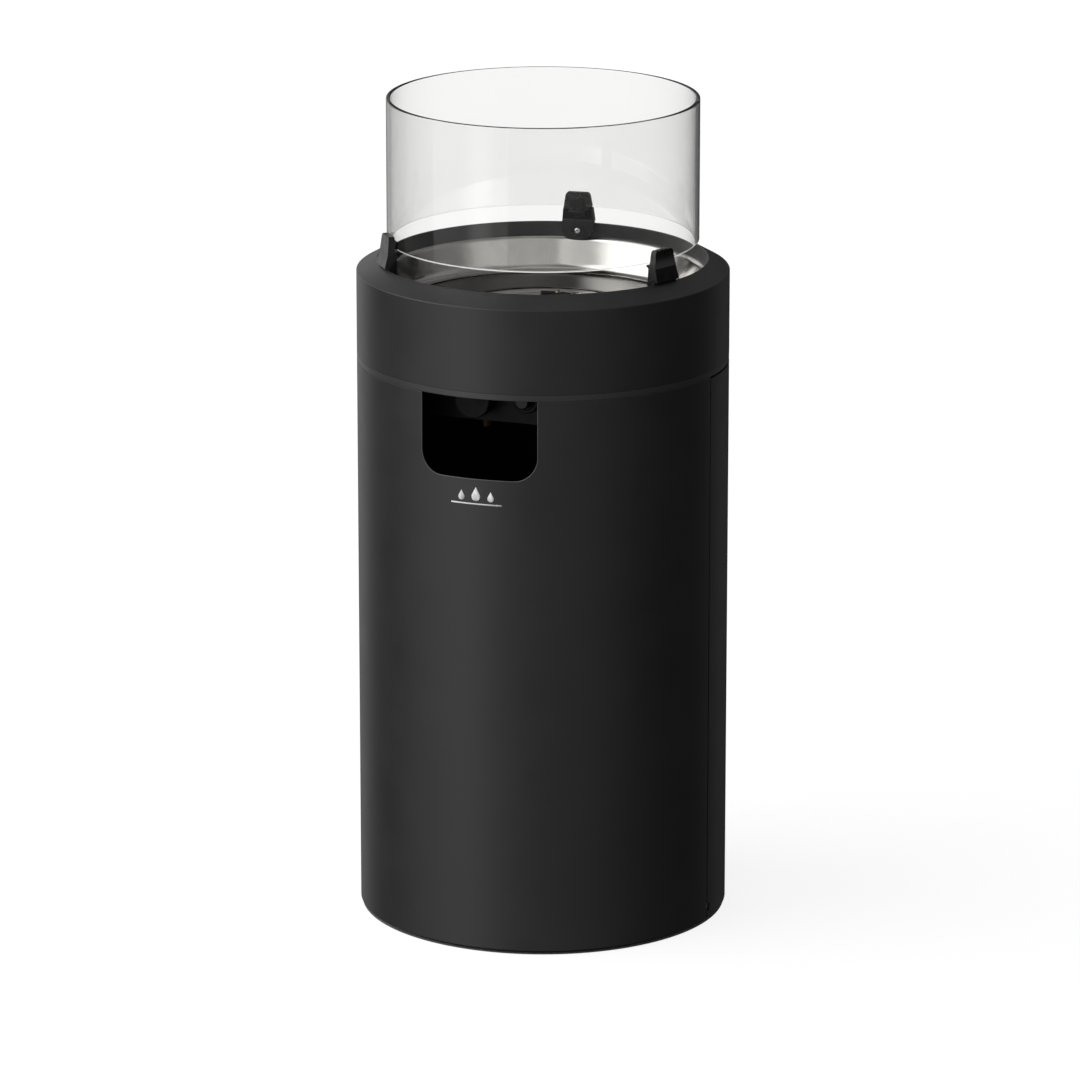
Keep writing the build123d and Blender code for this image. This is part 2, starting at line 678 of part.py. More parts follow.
def clip_screws():
    screw = rod_x(3.1, (150.4, 152)) + rod_x(SCREW_R, (152, 166))
    recess = rod_x(1.2, (150, 151.2))
    return joined(at(b) * Pos(0, 0, CLIP_SCREW_Z) * (screw - recess) for b in CLIP_BEARINGS.values())


def parts():
    """Every node's name and its solid."""
    nodes = {maker.__name__: maker for maker in (
        front_shell, emblem, shell_tabs, joint_ring, ring_screws, collar, collar_brackets, collar_screws,
        base_plate, foot_ring, foot_screws, bottle_stops, hinge_post, latch_post, lower_pivot, magnet_catch,
        door_panel, pull_cup, door_edge, door_pins, pivot_washer, strike_plate,
        reflector_bowl, pan_ring, centre_plate, bowl_supports, burner_cup, burner_grille, pilot_hood,
        electrode_insulator, electrode_wire, flame_sensor, heat_shield, shield_standoffs, shield_screws,
        mixing_tube, injector_bridge, injector_holder, gas_jet, feed_pipe, pipe_nuts, valve_body, valve_nut,
        valve_spindle, control_knob, knob_pointer, gas_inlet, control_bracket, igniter_housing,
        igniter_bezel, igniter_button, glass_cylinder, clip_pads, clip_screws)}
    solids = {name: maker() for name, maker in nodes.items()}
    solids["door_rib_lower"] = door_rib(LOWER_RIB_Z)
    solids["door_rib_upper"] = door_rib(UPPER_RIB_Z)
    for side, bearing in CLIP_BEARINGS.items():
        solids[f"glass_clip_{side}"] = at(bearing) * glass_clip()
    return solids


os.makedirs("parts", exist_ok=True)
for node, solid in parts().items():
    export_step(solid, f"parts/{node}.step")
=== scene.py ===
import math
from collections import Counter

import bmesh
import bpy
from mathutils import Matrix, Vector


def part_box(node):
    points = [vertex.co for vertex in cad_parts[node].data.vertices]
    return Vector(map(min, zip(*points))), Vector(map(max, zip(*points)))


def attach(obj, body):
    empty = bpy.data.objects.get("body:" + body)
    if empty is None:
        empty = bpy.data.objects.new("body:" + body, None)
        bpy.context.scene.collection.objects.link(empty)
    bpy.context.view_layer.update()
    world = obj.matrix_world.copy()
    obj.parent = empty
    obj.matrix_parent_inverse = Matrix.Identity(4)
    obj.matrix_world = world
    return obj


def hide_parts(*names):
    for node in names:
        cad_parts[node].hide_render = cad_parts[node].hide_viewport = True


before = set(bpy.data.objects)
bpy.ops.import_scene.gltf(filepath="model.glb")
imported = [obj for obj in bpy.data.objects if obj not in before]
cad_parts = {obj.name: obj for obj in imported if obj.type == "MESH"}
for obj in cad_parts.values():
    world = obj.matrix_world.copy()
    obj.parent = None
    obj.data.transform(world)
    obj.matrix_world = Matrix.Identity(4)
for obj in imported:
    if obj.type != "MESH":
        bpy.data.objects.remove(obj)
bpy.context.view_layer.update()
MM = 0.001


# ---- Finishes ----
# Every material is built from nodes: a colour and a roughness that drift together, and fine bumps.
DRIFT = (0.35, 0.65)


def linear(colour):
    """An sRGB hex colour as linear RGBA."""
    channels = [int(colour[i:i + 2], 16) / 255 for i in (1, 3, 5)]
    return [c / 12.92 if c <= 0.04045 else ((c + 0.055) / 1.055) ** 2.4 for c in channels] + [1.0]


def add(tree, kind, inputs=None, **settings):
    """Adds a shader node, sets its properties, and fills or links its inputs."""
    node = tree.nodes.new("ShaderNode" + kind)
    for name, value in settings.items():
        setattr(node, name, value)
    for socket, value in (inputs or {}).items():
        if isinstance(value, bpy.types.NodeSocket):
            tree.links.new(value, node.inputs[socket])
        else:
            node.inputs[socket].default_value = value
    return node


def new_finish(name, **shader):
    """A material with uniform values on its shader's sockets. Gives it, its tree, shader and place."""
    material = bpy.data.materials.new(name)
    material.use_nodes = True
    tree = material.node_tree
    surface = tree.nodes["Principled BSDF"]
    for socket, value in shader.items():
        surface.inputs[socket.replace("_", " ")].default_value = value
    return material, tree, surface, add(tree, "TexCoord").outputs["Object"]


def mottle(tree, surface, place, size, tones, gloss):
    """Colour and roughness that drift together over patches of one size, in metres."""
    patches = add(tree, "TexNoise", {"Vector": place, "Scale": 1 / size, "Detail": 5.0, "Roughness": 0.6})
    blend = add(tree, "MapRange", {"Value": patches.outputs[0], "From Min": DRIFT[0], "From Max": DRIFT[1]})
    colour = add(tree, "Mix", {0: blend.outputs[0], 6: linear(tones[0]), 7: linear(tones[1])},
                 data_type="RGBA")
    shine = add(tree, "MapRange", {"Value": blend.outputs[0], "To Min": gloss[0], "To Max": gloss[1]})
    tree.links.new(colour.outputs[2], surface.inputs["Base Color"])
    tree.links.new(shine.outputs[0], surface.inputs["Roughness"])


def grain(tree, surface, place, size, depth):
    """Fine bumps of one size and depth, in metres."""
    bumps = add(tree, "TexNoise", {"Vector": place, "Scale": 1 / size, "Detail": 2.0})
    relief = add(tree, "Bump", {"Height": bumps.outputs[0], "Distance": depth, "Strength": 1.0})
    tree.links.new(relief.outputs[0], surface.inputs["Normal"])


def finish(name, patch, tones, gloss, bumps, **shader):
    """A mottled material. patch and bumps, as (size, depth), are in millimetres."""
    material, tree, surface, place = new_finish(name, **shader)
    mottle(tree, surface, place, patch * MM, tones, gloss)
    grain(tree, surface, place, bumps[0] * MM, bumps[1] * MM)
    return material


def dress(material, *nodes):
    """Gives nodes of the frame their finish."""
    for node in nodes:
        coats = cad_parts[node].data.materials
        coats.clear()
        coats.append(material)


# ---- Foot ring ----
# The ring that the column stands on, chamfered underneath and screwed to the base plate. The frame's
# own mesh already has its shape.

# EPDM rubber, moulded: dull charcoal with a soft bloom and a fine moulded grain.
rubber = finish("moulded_epdm_rubber", 18, ("#101011", "#18181a"), (0.62, 0.78),
                (0.9, 0.03), IOR=1.52, Specular_IOR_Level=0.35)
dress(rubber, "foot_ring")


# ---- Base plate, posts and brackets ----
# Steel sheet, stamped and folded, zinc plated: the base plate with its vents, the bottle stops, both
# posts and every bracket that the coat doesn't reach.

# Zinc plate on steel: blue-white and faintly cloudy, with patches a few centimetres wide.
zinc = finish("zinc_plated_steel", 24, ("#a4a9ad", "#c6cacc"), (0.30, 0.46), (1.4, 0.012), Metallic=1.0)
dress(zinc, "base_plate", "bottle_stops", "hinge_post", "latch_post", "lower_pivot", "shell_tabs",
      "collar_brackets", "door_edge", "door_rib_lower", "door_rib_upper", "strike_plate", "heat_shield",
      "shield_standoffs", "bowl_supports", "injector_bridge")


# ---- Front shell ----
# 1.5 mm steel sheet, cut flat with its hand opening, rolled to the column's radius and powder
# coated. It hangs by tabs from the joint ring and stands clear of the base plate.
COLUMN_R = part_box("collar")[1].x
SHEET = 1.5 * MM
SHEET_EDGE = 0.35 * MM
PALE_EDGE = 0.7 * MM
NEAR = 0.05 * MM
ROLL_STEP = math.radians(1.5)
BLANK_WELD = 0.01 * MM
SHARP_ANGLE = math.radians(32)
OPENING_WIDE = 118.8 * MM
OPENING_HALF = COLUMN_R * math.asin(OPENING_WIDE / 2 / COLUMN_R)
OPENING_BOTTOM = 477.7 * MM
OPENING_CORNER = 23 * MM


def everything(bm):
    """All that a bmesh holds, for operators that take it as one list."""
    return bm.verts[:] + bm.edges[:] + bm.faces[:]


def rolled(loops, radius, bearing=0.0):
    """A flat blank rolled round the axis. Each loop lists its corners as (arc, height, corner radius)."""
    bm = bmesh.new()
    for loop in loops:
        corners = [bm.verts.new((arc, 0, height)) for arc, height, _ in loop]
        for pair in zip(corners, corners[1:] + corners[:1]):
            bm.edges.new(pair)
        for corner, (_, _, bend) in zip(corners, loop):
            if bend:
                bmesh.ops.bevel(bm, geom=[corner], offset=bend, segments=10, profile=0.5,
                                affect="VERTICES", material=-1)
    bmesh.ops.remove_doubles(bm, verts=bm.verts[:], dist=BLANK_WELD)
    bmesh.ops.triangle_fill(bm, edges=bm.edges[:], use_beauty=True)
    reach = max(v.co.x for v in bm.verts)
    strips = math.ceil(2 * reach / radius / ROLL_STEP)
    for i in range(1, strips):
        cut = (reach * (2 * i / strips - 1), 0, 0)
        bmesh.ops.bisect_plane(bm, geom=everything(bm), plane_co=cut, plane_no=(1, 0, 0))
    bmesh.ops.recalc_face_normals(bm, faces=bm.faces[:])
    if bm.faces[:][0].normal.y > 0:
        bmesh.ops.reverse_faces(bm, faces=bm.faces[:])
    for v in bm.verts:
        angle = bearing + v.co.x / radius
        v.co = (radius * math.sin(angle), -radius * math.cos(angle), v.co.z)
    return bm


def oblong(middle, height, half, tall, bend):
    """Corners of an oblong round a point of the flat blank: half its width, its height, its corners."""
    signs = ((-1, -1), (1, -1), (1, 1), (-1, 1))
    return [(middle + sx * half, height + sz * tall / 2, bend) for sx, sz in signs]


def piece(name, bm, material, body, nodes):
    """Makes a bmesh a piece that rides on its body and stands for its nodes of the frame."""
    mesh = bpy.data.meshes.new(name)
    bm.to_mesh(mesh)
    bm.free()
    mesh.shade_smooth()
    mesh.set_sharp_from_angle(angle=SHARP_ANGLE)
    mesh.materials.append(material)
    made = bpy.data.objects.new(name, mesh)
    bpy.context.scene.collection.objects.link(made)
    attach(made, body)
    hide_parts(*nodes)
    return made


def thicken(made, name, thickness):
    """Gives a single skin its thickness, inwards."""
    wall = made.modifiers.new(name, "SOLIDIFY")
    wall.thickness = thickness
    wall.offset = -1
    return wall


def break_edges(made, name, width, segments, angle):
    """Rounds the edges that turn by more than an angle in degrees."""
    rounding = made.modifiers.new(name, "BEVEL")
    rounding.width = width
    rounding.segments = segments
    rounding.limit_method = "ANGLE"
    rounding.angle_limit = math.radians(angle)
    rounding.harden_normals = True
    return rounding


def powder_coat(name, tones, gloss):
    """Polyester powder, sprayed and baked: a fine orange peel, drawn 1.6 mm wide so that it shows."""
    return finish(name, 60, tones, gloss, (1.6, 0.008), IOR=1.5)


# Black powder coat: satin, a little warmer and duller where it has built up.
black_coat = powder_coat("satin_black_powder_coat", ("#242425", "#272728"), (0.40, 0.45))
shell_low, shell_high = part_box("front_shell")
shell_half = COLUMN_R * math.asin(shell_high.x / COLUMN_R)
shell_outline = [(-shell_half, shell_low.z, 0), (shell_half, shell_low.z, 0), (shell_half, shell_high.z, 0),
                 (OPENING_HALF, shell_high.z, 0), (OPENING_HALF, OPENING_BOTTOM, OPENING_CORNER),
                 (-OPENING_HALF, OPENING_BOTTOM, OPENING_CORNER), (-OPENING_HALF, shell_high.z, 0),
                 (-shell_half, shell_high.z, 0)]
shell = piece("rolled_front_shell", rolled([shell_outline], COLUMN_R), black_coat, "column",
              ["front_shell"])
wall = thicken(shell, "sheet", SHEET)
broken = break_edges(shell, "broken_edges", SHEET_EDGE, segments=2, angle=40)
broken.harden_normals = False

# The hand opening's edges are broken wider and first, and their bevel takes a paler copy of the powder
# coat:
# a painted highlight along the cut edge. Weighted normals keep the rolled wall even.
opening_edge_highlight_coat = powder_coat("painted_edge_highlight_powder_coat", ("#55524e", "#5d5a56"), (0.40, 0.45))
shell.data.materials.append(opening_edge_highlight_coat)
wall.material_offset_rim = 1
uses = Counter(key for face in shell.data.polygons for key in face.edge_keys)
weights = shell.data.attributes.new("bevel_weight_edge", "FLOAT", "EDGE")
for edge, weight in zip(shell.data.edges, weights.data):
    ends = [shell.data.vertices[i].co for i in edge.vertices]
    inside = all(v.z > OPENING_BOTTOM - NEAR for v in ends)
    across = all(abs(math.atan2(v.x, -v.y)) * COLUMN_R < OPENING_HALF + NEAR for v in ends)
    weight.value = uses[edge.key] == 1 and inside and across
# This bevel round the hand opening takes the paler coat: a painted highlight.
pale = shell.modifiers.new("painted_highlight_edges", "BEVEL")
pale.limit_method = "WEIGHT"
pale.width = PALE_EDGE
pale.segments = 2
pale.material = 1
shell.modifiers.move(2, 1)
even = shell.modifiers.new("even_normals", "WEIGHTED_NORMAL")
even.weight = 100


# ---- Emblem ----
# A generic mark below the hand opening, three flame drops over a bar: white ink, pad printed on the
# coat and so a few hundredths of a millimetre proud of it.
EMBLEM_FOOT = 456 * MM
INK = 0.06 * MM
BAR = (26 * MM, 1.4 * MM)
BAR_DROP = 3 * MM
DROPS = ((-15 * MM, 3.2 * MM, 10 * MM), (0, 4.4 * MM, 14 * MM), (15 * MM, 3.2 * MM, 10 * MM))


def drop(middle, foot_r, height):
    """Corners of one drop: a round foot whose sides run up to a tip."""
    lean = math.asin(foot_r / (height - foot_r))
    turns = [(math.pi / 2 + lean) * i / 12 for i in range(-12, 13)]
    foot = [(middle + foot_r * math.sin(a), EMBLEM_FOOT + foot_r * (1 - math.cos(a)), 0) for a in turns]
    return foot + [(middle, EMBLEM_FOOT + height, 0)]


# Pad-printing ink: matt white, slightly thin towards its edges.
ink = finish("white_printing_ink", 3, ("#e2e2e0", "#efefed"), (0.45, 0.6), (0.5, 0.006), IOR=1.5)
marks = [oblong(0, EMBLEM_FOOT - BAR_DROP, BAR[0], BAR[1], 0)] + [drop(*sizes) for sizes in DROPS]
mark = piece("printed_emblem", rolled(marks, COLUMN_R + INK), ink, "column", ["emblem"])
thicken(mark, "film", 2 * INK)
dress(ink, "knob_pointer")


# ---- Rear door ----
# The rest of the column's wall, from the same coated sheet: it swings on two pins beside the right
# seam. It has vents low at the back, a notch for its pivot bracket and the mouth of the finger cup.
door_low, door_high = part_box("door_panel")
door_half = COLUMN_R * (math.pi - math.acos(-door_low.y / COLUMN_R))
NOTCH_WIDE = 5.1 * MM
NOTCH_Z = (11 * MM, 19 * MM)
CUP_ARC = COLUMN_R * math.radians(83)
CUP_MIDDLE = 280 * MM
CUP_MOUTH = (15 * MM, 80 * MM, 6 * MM)
VENT_BEARINGS = (-40, -20, 0, 20, 40)
VENT_HEIGHTS = (48 * MM, 62 * MM, 76 * MM)
VENT = (23 * MM, 6 * MM, 2.994 * MM)

notch_in = NOTCH_WIDE - door_half
door_outline = [(-door_half, door_low.z, 0), (door_half, door_low.z, 0), (door_half, door_high.z, 0),
                (-door_half, door_high.z, 0), (-door_half, NOTCH_Z[1], 0), (notch_in, NOTCH_Z[1], 0),
                (notch_in, NOTCH_Z[0], 0), (-door_half, NOTCH_Z[0], 0)]
cup_mouth = oblong(CUP_ARC, CUP_MIDDLE, *CUP_MOUTH)
vents = [oblong(COLUMN_R * math.radians(b), z, *VENT) for b in VENT_BEARINGS for z in VENT_HEIGHTS]
door = piece("rolled_rear_door", rolled([door_outline, cup_mouth] + vents, COLUMN_R, math.pi), black_coat,
             "door", ["door_panel"])
thicken(door, "sheet", SHEET)
break_edges(door, "broken_edges", SHEET_EDGE, segments=2, angle=40)

# Glass-filled nylon, moulded: near black, half gloss, with a very fine spark-eroded grain.
nylon = finish("glass_filled_nylon", 9, ("#0c0c0d", "#141415"), (0.26, 0.38),
               (0.7, 0.012), IOR=1.53, Specular_IOR_Level=0.35)
dress(nylon, "pull_cup", "magnet_catch")

# The same nylon in a coarser, duller grain, for what the hand turns and what holds the igniter.
dull_nylon = finish("coarse_grained_nylon", 9, ("#060607", "#0a0a0b"), (0.50, 0.62),
                    (1.1, 0.03), IOR=1.53, Specular_IOR_Level=0.15)
dress(dull_nylon, "control_knob", "igniter_housing")

# Bright zinc or stainless fasteners, cold headed and tumbled: clean and fairly sharp reflections.
bright = finish("bright_steel", 2, ("#d3d4d5", "#e6e7e7"), (0.16, 0.28), (0.6, 0.004), Metallic=1.0)
dress(bright, "door_pins", "foot_screws", "ring_screws", "collar_screws", "shield_screws", "valve_spindle",
      "electrode_wire")


# ---- Joint ring ----
# A rolled ring between column and collar: its narrow band shows, with a small chamfer below, and its flange
# inside carries the shell, the collar and the heat shield. Its coat is a lighter copy of the column's,
# painted light for the light the band catches from the floor.
BAND_IN = 180 * MM
BAND_BENDS = {1: 0.5 * MM, 2: 0.2 * MM}
FLANGE_R = (140 * MM, 180.5 * MM)
FLANGE_Z = (557 * MM, 559.5 * MM)
NOTCH_R = 178 * MM
NOTCH_HALF = math.radians(22)
TURN_STEPS = 240
TURNED_WELD = 0.002 * MM
HOLD = 0.8 * MM


def turned(outline, bends=None, closed=True, start=0.0, arc=math.tau):
    """An (r, z) outline turned about the axis from a bearing. bends maps a corner's index to its radius.

    Each long run gets a ring near both ends, so that its smooth normals stay true between them.
    """
    bm = bmesh.new()
    place = [Vector((r * math.sin(start), -r * math.cos(start), z)) for r, z in outline]
    corners = [bm.verts.new(p) for p in place]
    for pair in zip(corners, corners[1:]):
        bm.edges.new(pair)
    if closed:
        bm.edges.new((corners[-1], corners[0]))
    for i, radius in (bends or {}).items():
        before, after = place[i] - place[i - 1], place[(i + 1) % len(place)] - place[i]
        setback = radius * math.tan(before.angle(after) / 2)
        bmesh.ops.bevel(bm, geom=[corners[i]], offset=setback, segments=6, profile=0.5,
                        affect="VERTICES", material=-1)
    for run in [edge for edge in bm.edges if edge.calc_length() > 3 * HOLD]:
        for end in run.verts[:]:
            bmesh.utils.edge_split(run, end, HOLD / run.calc_length())
    whole = arc >= math.tau
    if closed and not whole:
        bmesh.ops.contextual_create(bm, geom=bm.edges[:])
    steps = max(3, round(TURN_STEPS * arc / math.tau))
    bmesh.ops.spin(bm, geom=everything(bm), axis=(0, 0, 1), cent=(0, 0, 0), angle=arc, steps=steps,
                   use_merge=whole)
    bmesh.ops.remove_doubles(bm, verts=bm.verts[:], dist=TURNED_WELD)
    bmesh.ops.recalc_face_normals(bm, faces=bm.faces[:])
    return bm


def gather(bm, other):
    """Adds the mesh of another bmesh to this one."""
    held = bpy.data.meshes.new("held")
    other.to_mesh(held)
    other.free()
    bm.from_mesh(held)
    bpy.data.meshes.remove(held)


# The same powder, a shade lighter than the column's: painted light on the band, for the light it catches
# from the floor.
band_lighter_coat = powder_coat("satin_powder_coat_painted_lighter", ("#333334", "#363637"), (0.38, 0.43))
band_low, band_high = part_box("joint_ring")
band_r = band_high.x


def upright(inner, outer, low, high):
    """The (r, z) outline of a plain ring."""
    return [(inner, low), (outer, low), (outer, high), (inner, high)]


ring = turned(upright(BAND_IN, band_r, band_low.z, band_high.z), BAND_BENDS)
flange = upright(*FLANGE_R, *FLANGE_Z)
notched = upright(NOTCH_R, FLANGE_R[1], *FLANGE_Z)
gather(ring, turned(flange, start=NOTCH_HALF, arc=math.tau - 2 * NOTCH_HALF))
gather(ring, turned(notched, start=-NOTCH_HALF, arc=2 * NOTCH_HALF))
piece("rolled_joint_ring", ring, band_lighter_coat, "column", ["joint_ring"])


# ---- Gas tap, igniter and gas train ----
# A black enamelled panel carries the brass tap and the piezo igniter. A bent copper pipe feeds the
# jet under the burner's mixing tube.

# Stove enamel on steel: deep black and dull, with faint waves from the sheet below.
enamel = finish("black_stove_enamel", 12, ("#050506", "#080809"), (0.48, 0.60),
                (3, 0.03), IOR=1.52, Specular_IOR_Level=0.15)
dress(enamel, "control_bracket", "pilot_hood")

# Steel, blacked in hot oil: the nut round the igniter.
oiled = finish("black_oxide_steel", 3, ("#131314", "#1c1c1d"), (0.30, 0.42), (0.6, 0.006), Metallic=1.0)
dress(oiled, "igniter_bezel")

# Brass, turned from bar: yellow, with fine tool marks and a first dull tarnish.
brass = finish("turned_brass", 5, ("#b8924a", "#d3b06a"), (0.22, 0.40), (0.6, 0.008), Metallic=1.0)
dress(brass, "valve_body", "valve_nut", "gas_jet", "injector_holder", "pipe_nuts", "pivot_washer")

# The inlet's brass has gone brown where thread sealant and soot have stained it.
stained = finish("stained_brass", 5, ("#241d12", "#35291a"), (0.40, 0.55), (0.6, 0.008), Metallic=1.0)
dress(stained, "gas_inlet")

# Copper tube, drawn and bent cold: warm pink, browned in patches where it has been handled.
copper = finish("drawn_copper", 10, ("#a4603c", "#c98560"), (0.24, 0.42), (0.8, 0.006), Metallic=1.0)
dress(copper, "feed_pipe")

# ABS, moulded and polished: the igniter's button, black and glossy.
gloss_abs = finish("gloss_black_abs", 6, ("#090909", "#0e0e0f"), (0.12, 0.20),
                   (1.2, 0.005), IOR=1.54, Specular_IOR_Level=0.2)
dress(gloss_abs, "igniter_button")


# ---- Collar ----
# 2 mm steel, spun and trimmed: an upright wall, a sloping top, and an inner wall turned down round
# the burner bowl. It has the same black powder coat as the column.
COLLAR_SHEET = 2 * MM
SHOULDER_Z = 645.8 * MM
RIM_R = 161 * MM
RIM_DROP = 14.6 * MM
COLLAR_BEND = 1 * MM


def sheet_outline(line, sheet):
    """Closes an (r, z) line that runs inwards into the outline of a sheet with its back below it."""
    points = [Vector(p) for p in line]
    runs = [(b - a).normalized() for a, b in zip(points, points[1:])]
    back = []
    for i, point in enumerate(points):
        sides = [Vector((-run.y, run.x)) for run in runs[max(0, i - 1):i + 1]]
        middle = sum(sides, Vector((0, 0)))
        back.append(point + middle * sheet / middle.dot(sides[0]))
    return [tuple(p) for p in points + back[::-1]]


collar_low, collar_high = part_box("collar")
collar_line = [(COLUMN_R, collar_low.z), (COLUMN_R, SHOULDER_Z), (RIM_R, collar_high.z),
               (RIM_R, collar_high.z - RIM_DROP)]
collar_bends = {1: COLLAR_BEND, 2: COLLAR_BEND, 0: SHEET_EDGE, 3: SHEET_EDGE, 4: SHEET_EDGE, 7: SHEET_EDGE}
collar = turned(sheet_outline(collar_line, COLLAR_SHEET), collar_bends)
piece("spun_collar", collar, black_coat, "column", ["collar"])


# ---- Burner bowl ----
# Three pieces of polished stainless steel that mirror the flames: a spun bowl whose lip sits under
# the collar, a pan ring on its ledge, and a dished centre plate. Dark gaps show between them.
BOWL_SHEET = 0.8 * MM
BOWL_LINE = [(162.6, 643.4), (157, 643.4), (145, 611.6), (138.2, 610.4), (138.2, 606.4), (130, 606.4)]
BOWL_BENDS = {1: 6, 2: 11}
PAN_LINE = [(136.2, 606.6), (136.2, 609.6), (89.6, 606.2), (89.6, 602.6), (82, 602.6)]
PAN_BENDS = {1: 0.6, 2: 0.6, 3: 0.6}
PLATE_LINE = [(87.8, 602.8), (87.8, 605.2), (66, 606.6), (46, 608.5), (30.6, 608.5), (30.6, 604.5)]
PLATE_BENDS = {1: 0.6, 2: 60, 3: 20, 4: 0.6}
GROOVE = 1.1 * MM
GROOVE_DEEP = 0.002 * MM


def spun_sheet(line, bends, sheet):
    """A thin spun sheet from an (r, z) line in millimetres that runs inwards, with its bend radii."""
    bm = turned([(r * MM, z * MM) for r, z in line], {i: r * MM for i, r in bends.items()}, closed=False)
    lid = max(bm.faces, key=lambda face: abs(face.normal.z))
    if lid.normal.z < 0:
        bmesh.ops.reverse_faces(bm, faces=bm.faces[:])
    bmesh.ops.solidify(bm, geom=bm.faces[:], thickness=sheet)
    return bm


def spun_steel(name, tones, gloss):
    """Polished stainless steel with fine rings from spinning and buffing."""
    material, tree, surface, place = new_finish(name, Metallic=1.0, Anisotropic=0.35)
    mottle(tree, surface, place, 40 * MM, tones, gloss)
    flat = add(tree, "VectorMath", {0: place, 1: (1, 1, 0)}, operation="MULTIPLY")
    radius = add(tree, "VectorMath", {0: flat.outputs[0]}, operation="LENGTH")
    rings = add(tree, "TexNoise", {"W": radius.outputs["Value"], "Scale": 1 / GROOVE, "Detail": 3.0},
                noise_dimensions="1D")
    relief = add(tree, "Bump", {"Height": rings.outputs[0], "Distance": GROOVE_DEEP, "Strength": 1.0})
    tree.links.new(relief.outputs[0], surface.inputs["Normal"])
    lay = add(tree, "Tangent", direction_type="RADIAL", axis="Z")
    tree.links.new(lay.outputs[0], surface.inputs["Tangent"])
    return material


# Stainless steel, buffed: warm grey-white, mirror-like but softened by its rings.
mirror_steel = spun_steel("buffed_stainless_steel", ("#c6c4c0", "#d2d0cc"), (0.13, 0.17))
piece("spun_bowl", spun_sheet(BOWL_LINE, BOWL_BENDS, BOWL_SHEET), mirror_steel, "column",
      ["reflector_bowl"])

# The same steel in a darker browned grey, for the pan ring.
darker_pan_steel = spun_steel("darker_stainless_steel", ("#575552", "#64625f"), (0.14, 0.20))
piece("pressed_pan_ring", spun_sheet(PAN_LINE, PAN_BENDS, BOWL_SHEET), darker_pan_steel, "column",
      ["pan_ring"])

piece("dished_centre_plate", spun_sheet(PLATE_LINE, PLATE_BENDS, BOWL_SHEET), mirror_steel, "column",
      ["centre_plate"])


# ---- Burner ----
# A stainless cup with a rolled bead holds the ported disc that the gas burns on. Beside it an
# enamelled hood shelters the ceramic ignition electrode and the flame sensor.
CUP_R = 30 * MM
CUP_WALL = 1.2 * MM
CUP_THROAT = 12 * MM
CUP_BEND = 2 * MM
BEAD_R = 0.9 * MM
BEAD_STEPS = 16
cup_low, cup_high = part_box("burner_cup")
bead_z = cup_high.z - BEAD_R

cup = turned([(CUP_THROAT, cup_low.z), (CUP_R, cup_low.z), (CUP_R, bead_z), (CUP_R - CUP_WALL, bead_z),
              (CUP_R - CUP_WALL, cup_low.z + CUP_WALL), (CUP_THROAT, cup_low.z + CUP_WALL)], {1: CUP_BEND})
bead_middle = CUP_R - CUP_WALL / 2
bead_turns = [math.tau * i / BEAD_STEPS for i in range(BEAD_STEPS)]
bead = [(bead_middle + BEAD_R * math.cos(a), bead_z + BEAD_R * math.sin(a)) for a in bead_turns]
gather(cup, turned(bead))
piece("beaded_burner_cup", cup, mirror_steel, "column", ["burner_cup"])

# Stainless steel that has been hot: straw and brown heat tints in drifting patches.
tinted_steel = finish("heat_tinted_steel", 14, ("#6d6257", "#93887c"), (0.28, 0.42),
                      (0.9, 0.01), Metallic=1.0)
dress(tinted_steel, "burner_grille", "mixing_tube", "flame_sensor")

# Alumina ceramic, fired: ivory white, smooth, with a slight translucence.
ceramic = finish("fired_alumina", 4, ("#ddd8cc", "#ebe7dd"), (0.22, 0.34),
                 (0.8, 0.008), IOR=1.6, Subsurface_Weight=0.1)
dress(ceramic, "electrode_insulator")


# ---- Glass clips ----
# Three moulded nylon clips, screwed to the collar's inner wall: a foot inside the rim, a flared back
# over it, a ledge on which the glass stands, and an upright and a thin tab on either side of it.
CLIP_BEARINGS = {"rear": 187.5, "left": -52.5, "right": 67.5}
CLIP_BACK = [(152, 642), (155, 642), (155.6, 644.8), (160.9, 645.2), (160.9, 658.7), (164.6, 658.7),
             (164, 662), (161.2, 672), (159.5, 689), (153.3, 689), (153.3, 672.5), (152, 672)]
CLIP_HALVES = ((642, 3), (642.4, 6), (643.4, 9.5), (645.2, 12.4), (648, 15), (652, 16.5), (672, 15),
               (686.5, 12.5), (689, 10.5))
CLIP_LEDGE = [(153.4, 672.5), (143, 672.5), (143, 671.3), (152.1, 665)]
LEDGE_HALF = 8
TAB = ((146.6, 148.2), 7, (672, 683))
TAB_CORNER = 2.5
CLIP_EDGE = 0.6 * MM


def prism(corners, axis, low, high):
    """A flat outline pushed through from low to high along one axis, all in millimetres."""
    bm = bmesh.new()
    cycle = {"y": lambda a, b, c: (a, c, b), "x": lambda a, b, c: (c, a, b)}[axis]
    face = bm.faces.new([bm.verts.new(Vector(cycle(a, b, low)) * MM) for a, b in corners])
    pushed = bmesh.ops.extrude_face_region(bm, geom=[face])["geom"]
    shift = Vector(cycle(0, 0, high - low)) * MM
    bmesh.ops.translate(bm, verts=[v for v in pushed if isinstance(v, bmesh.types.BMVert)], vec=shift)
    return bm


def half_width(z):
    """The clip's half width at a height, along its outline."""
    for (z0, half0), (z1, half1) in zip(CLIP_HALVES, CLIP_HALVES[1:]):
        if z <= z1 * MM:
            return (half0 + (half1 - half0) * (z / MM - z0) / (z1 - z0)) * MM
    return CLIP_HALVES[-1][1] * MM


